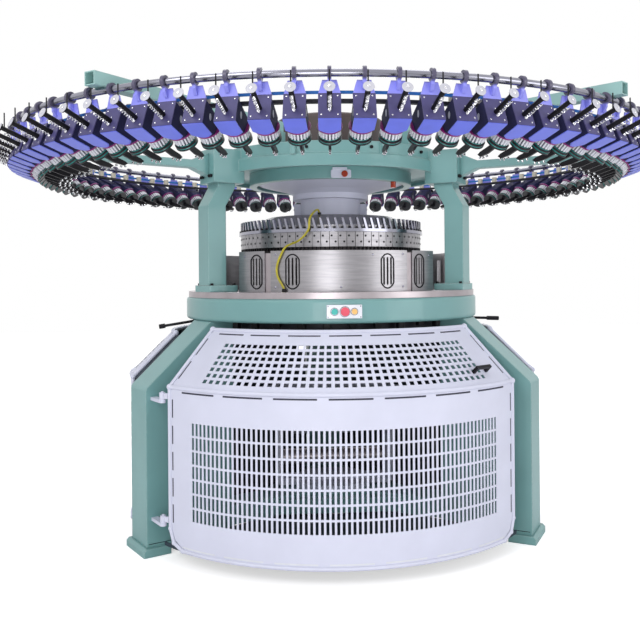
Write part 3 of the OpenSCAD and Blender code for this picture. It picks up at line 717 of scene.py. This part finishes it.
def button_rims(m):
    """Bezels round the push buttons, and corner screws on their panel."""
    s = Shape()
    panel = facing_out(0, PANEL_FACE_R, PANEL_Z)
    buttons = ((-43, 16.5), (2, 22), (43, 15))
    corner_x, corner_y = 70, 23
    for x, radius in buttons:
        s.ring(radius, 1.2, 0.8, 32, panel @ shift(x, 0, 0))
    for x in (-corner_x, corner_x):
        for y in (-corner_y, corner_y):
            s.screw(2.6, 1, 1.4, 1.8, 10, panel @ shift(x, y, 0))
    s.build("button_rims", m["chrome"], slot="chrome")


# Guards

# How far outside the sheets' own radius the dashes start, and how thick they are
SKIN = 1.4
SLIT_T = 0.6


def upright_section(z, height):
    """Thin section lying on a guard's lower sheet."""
    inner = GUARD_R + SKIN
    return [(inner, z), (inner, z + height), (inner + SLIT_T, z + height), (inner + SLIT_T, z)]


def slant_section(top, along, height):
    """Thin section lying on a guard's sloping sheet, a share of the way up it."""
    run = Vector((top[0] - GUARD_R, top[1] - SEAM_Z))
    up = run.normalized()
    out = Vector((up[1], -up[0]))
    foot = Vector((GUARD_R, SEAM_Z)) + run * along + out * SKIN
    rise, thick = up * height, out * SLIT_T
    return [tuple(foot), tuple(foot + rise), tuple(foot + rise + thick), tuple(foot + thick)]


def guard_dashes(m):
    """Long dark slits between the door's frame tube and its sheets, and pale ones along the bottom."""
    dark, pale = Shape(), Shape()
    dashes, pitch, half_dash, dash_h = 7, 12.6, 5, 7
    foot_z, seam_gap, top_share = 82, 21, 0.915
    for i in range(dashes):
        mid = (i - (dashes - 1) / 2) * pitch
        pale.sweep(upright_section(foot_z, dash_h), mid, half_dash, 8)
        dark.sweep(upright_section(SEAM_Z - seam_gap, dash_h), mid, half_dash, 8)
        dark.sweep(slant_section(FRONT_TOP, top_share, dash_h), mid, half_dash, 8)
    post_phi = 46.35
    low_z, low_pitch, low_h = 178, 112, 78
    high_share, high_pitch, high_h = 0.14, 0.4, 98
    for post in (-post_phi, post_phi):
        for i in range(5):
            dark.sweep(upright_section(low_z + i * low_pitch, low_h), post, 0.2, 1)
        for i in range(2):
            section = slant_section(FRONT_TOP, high_share + i * high_pitch, high_h)
            dark.sweep(section, post - 0.07, 0.21, 1)
    dark.build("door_slits", m["slit_dark"], "door", slot="black_plastic")
    pale.build("door_light_slits", m["fin_white"], "door", slot="white_paint")


def beside_columns(bay, columns, step):
    """Angles a step to both sides of each column of holes, where the columns are three steps apart."""
    return [bay + (3 * (i - (columns - 1) / 2) + side) * step for i in range(columns) for side in (-1, 1)]


def rear_slits(m):
    """Dark slits between the rear guards' holes, which makes them as close-set as the door's."""
    s = Shape()
    rows, skin, thick = 7, 1.6, 0.4
    slot_z, slot_pitch = 229.5, 60
    hole_share, hole_pitch = 0.14, 0.1
    run = Vector((REAR_TOP[0] - GUARD_R, REAR_TOP[1] - SEAM_Z))
    slant = math.atan2(run[1], -run[0])
    lift = skin / run.length
    for bay in REAR_BAYS:
        for phi in beside_columns(bay, *REAR_SLOTS):
            for j in range(rows):
                place = facing_out(phi, GUARD_R + skin, slot_z + slot_pitch * j)
                s.prism(strip(12, -25.5, 25.5), 0, thick, place)
        for phi in beside_columns(bay, *REAR_HOLES):
            for j in range(rows):
                hole = Vector((GUARD_R, SEAM_Z)) + run * (hole_share + hole_pitch * j)
                place = at(phi, hole[0] + run[1] * lift, hole[1] - run[0] * lift)
                s.prism(strip(20, -10, 10), 0, thick, place @ Matrix.Rotation(slant, 4, "X"))
    s.build("rear_slits", m["slit_dark"], slot="black_plastic")


def inner_painted_shade(m):
    """Dark sheets inside the rear guards, and a dark floor between the legs: painted shade that darkens the
    chamber behind the guards.
    """
    s = Shape()
    steps = 44
    shade_in_r, shade_z, shade_top, rim_z = 250, 57, 60, 74
    outer, inner = GUARD_R - 14, GUARD_R - 17
    low = [(inner, shade_top), (outer, shade_top), (GUARD_R - 6, SEAM_Z - 8), (GUARD_R - 9, SEAM_Z - 8)]
    high = [(GUARD_R - 10, SEAM_Z - 6), (GUARD_R - 6, SEAM_Z - 4),
            (REAR_TOP[0] - 6, REAR_TOP[1] - 8), (REAR_TOP[0] - 10, REAR_TOP[1] - 10)]
    shade_floor = [(shade_in_r, shade_z), (outer, shade_z), (outer, rim_z), (inner, rim_z), (inner, shade_top),
            (shade_in_r, shade_top)]
    low_half, high_half, shade_floor_half = 54.7, 52, 51.5
    for bay in REAR_BAYS:
        s.sweep(low, bay, low_half, steps)
        s.sweep(high, bay, high_half, steps)
    for bay in BAYS:
        s.sweep(shade_floor, bay, shade_floor_half, steps)
    s.build("inner_painted_shade", m["painted_shade_dark"], slot="dark_steel")


# The yellow wire bundle in front of the cylinder guard

# Points along the middle of the bundle: angle from the front, radius and height
WIRE_ROUTE = [(-14, 320, 1533), (-14.5, 350, 1544), (-15, 420, 1528), (-15.8, 482, 1494), (-16.5, 490, 1440),
              (-21, 505, 1392), (-23.5, 560, 1372), (-24.5, 606, 1352), (-27, 611, 1300), (-28, 611, 1260),
              (-27.4, 612, 1222), (-25.5, 614, 1190), (-24.5, 614, 1170)]
STRANDS = 5
STRAND_R = 2.0
STRAND_LAY_R = 3
STRAND_TWIST = 0.14


def smooth_route(points, per):
    """Points along a smooth curve through the given ones."""
    pts = [Vector(p) for p in points]
    line = []
    for i in range(len(pts) - 1):
        a, b, c, d = pts[max(i - 1, 0)], pts[i], pts[i + 1], pts[min(i + 2, len(pts) - 1)]
        for k in range(per):
            t = k / per
            line.append(0.5 * (2 * b + (c - a) * t + (2 * a - 5 * b + 4 * c - d) * t * t
                               + (3 * b - a - 3 * c + d) * t ** 3))
    return line + [pts[-1]]


def wire_bundle(m):
    """Strands wound loosely round the route."""
    line = smooth_route([at(phi, r, z).translation for phi, r, z in WIRE_ROUTE], 6)
    s = Shape()
    for j in range(STRANDS):
        points = []
        for i, p in enumerate(line):
            d = (line[min(i + 1, len(line) - 1)] - line[max(i - 1, 0)]).normalized()
            side = d.cross(Vector((0.2, 0.95, 0.1))).normalized()
            up = d.cross(side)
            a = 2 * math.pi * j / STRANDS + i * STRAND_TWIST
            points.append(p + STRAND_LAY_R * (math.cos(a) * side + math.sin(a) * up))
        s.wire(points, STRAND_R)
    obj = s.build("wire_strands", m["wire_yellow"], slot="wire_yellow")
    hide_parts("wire_bundle")


# Stage, in metres

FLOOR_HALF = 14

# Area lamps: name, place, the point they face, size and power in watts
LAMPS = (
    ("key", (-3.5, -4.5, 4.4), (0, 0, 1.1), 3.0, 115),
    ("fill", (4.2, -3.6, 1.9), (0, 0, 1.2), 3.0, 70),
    ("low", (-0.6, -4.8, 0.7), (0, 0, 1.5), 1.6, 40),
    ("top", (0, 0.5, 5.5), (0, 0, 1.0), 4.0, 70),
    ("back", (0.5, 5.0, 3.5), (0, 0, 1.2), 3.0, 85),
)


def make_world():
    """White where the camera or a reflection sees it, and dimmer as a light."""
    world = bpy.data.worlds.new("studio")
    bpy.context.scene.world = world
    world.use_nodes = True
    tree = world.node_tree
    background = tree.nodes["Background"]
    background.inputs["Color"].default_value = (1, 1, 1, 1)
    path = add_node(tree, "LightPath")
    seen = path.outputs["Is Camera Ray"]
    for ray in ("Is Glossy Ray", "Is Transmission Ray"):
        either = add_node(tree, "Math", operation="MAXIMUM")
        tree.links.new(seen, either.inputs[0])
        tree.links.new(path.outputs[ray], either.inputs[1])
        seen = either.outputs["Value"]
    level = add_node(tree, "MapRange", {"To Min": 0.55, "To Max": 1.0})
    tree.links.new(seen, level.inputs["Value"])
    tree.links.new(level.outputs["Result"], background.inputs["Strength"])


def make_floor():
    """Pale floor that the camera sees brightened to the backdrop's white."""
    mat, tree, shader = new_material("floor_white", {
        "Base Color": (0.86, 0.86, 0.87, 1),
        "Roughness": 0.7,
        "Emission Color": (1, 1, 1, 1),
    })
    glow = add_node(tree, "MapRange", {"To Max": 0.56})
    tree.links.new(add_node(tree, "LightPath").outputs["Is Camera Ray"], glow.inputs["Value"])
    tree.links.new(glow.outputs["Result"], shader.inputs["Emission Strength"])
    corners = [(x, y, 0) for x, y in strip(2 * FLOOR_HALF, -FLOOR_HALF, FLOOR_HALF)]
    mesh = bpy.data.meshes.new("floor")
    mesh.from_pydata(corners, [], [(0, 1, 2, 3)])
    mesh.materials.append(mat)
    add_object("floor", mesh)


def make_lamps():
    for name, place, target, size, power in LAMPS:
        data = bpy.data.lights.new(name, "AREA")
        data.size = size
        data.energy = power
        lamp = add_object(name, data)
        lamp.location = place
        lamp.rotation_euler = (Vector(target) - Vector(place)).to_track_quat("-Z", "Y").to_euler()


def main():
    make_camera()
    materials = make_materials()
    paint_frame(materials)
    for make in (
        wire_bundle,
        feeder_screws, feeder_fins, feeder_glint_rings, feeder_springs, feeder_discs, feeder_tips,
        feeder_badges,
        cam_screws, guide_tips, shell_screws, hub_details, lamp_bracket,
        frame_bolts, leg_seams, guard_dashes, rear_slits, inner_painted_shade,
        shell_handles, button_rims, under_bed,
    ):
        make(materials)
    make_world()
    make_floor()
    make_lamps()
    bpy.context.scene.view_settings.view_transform = "Standard"


main()
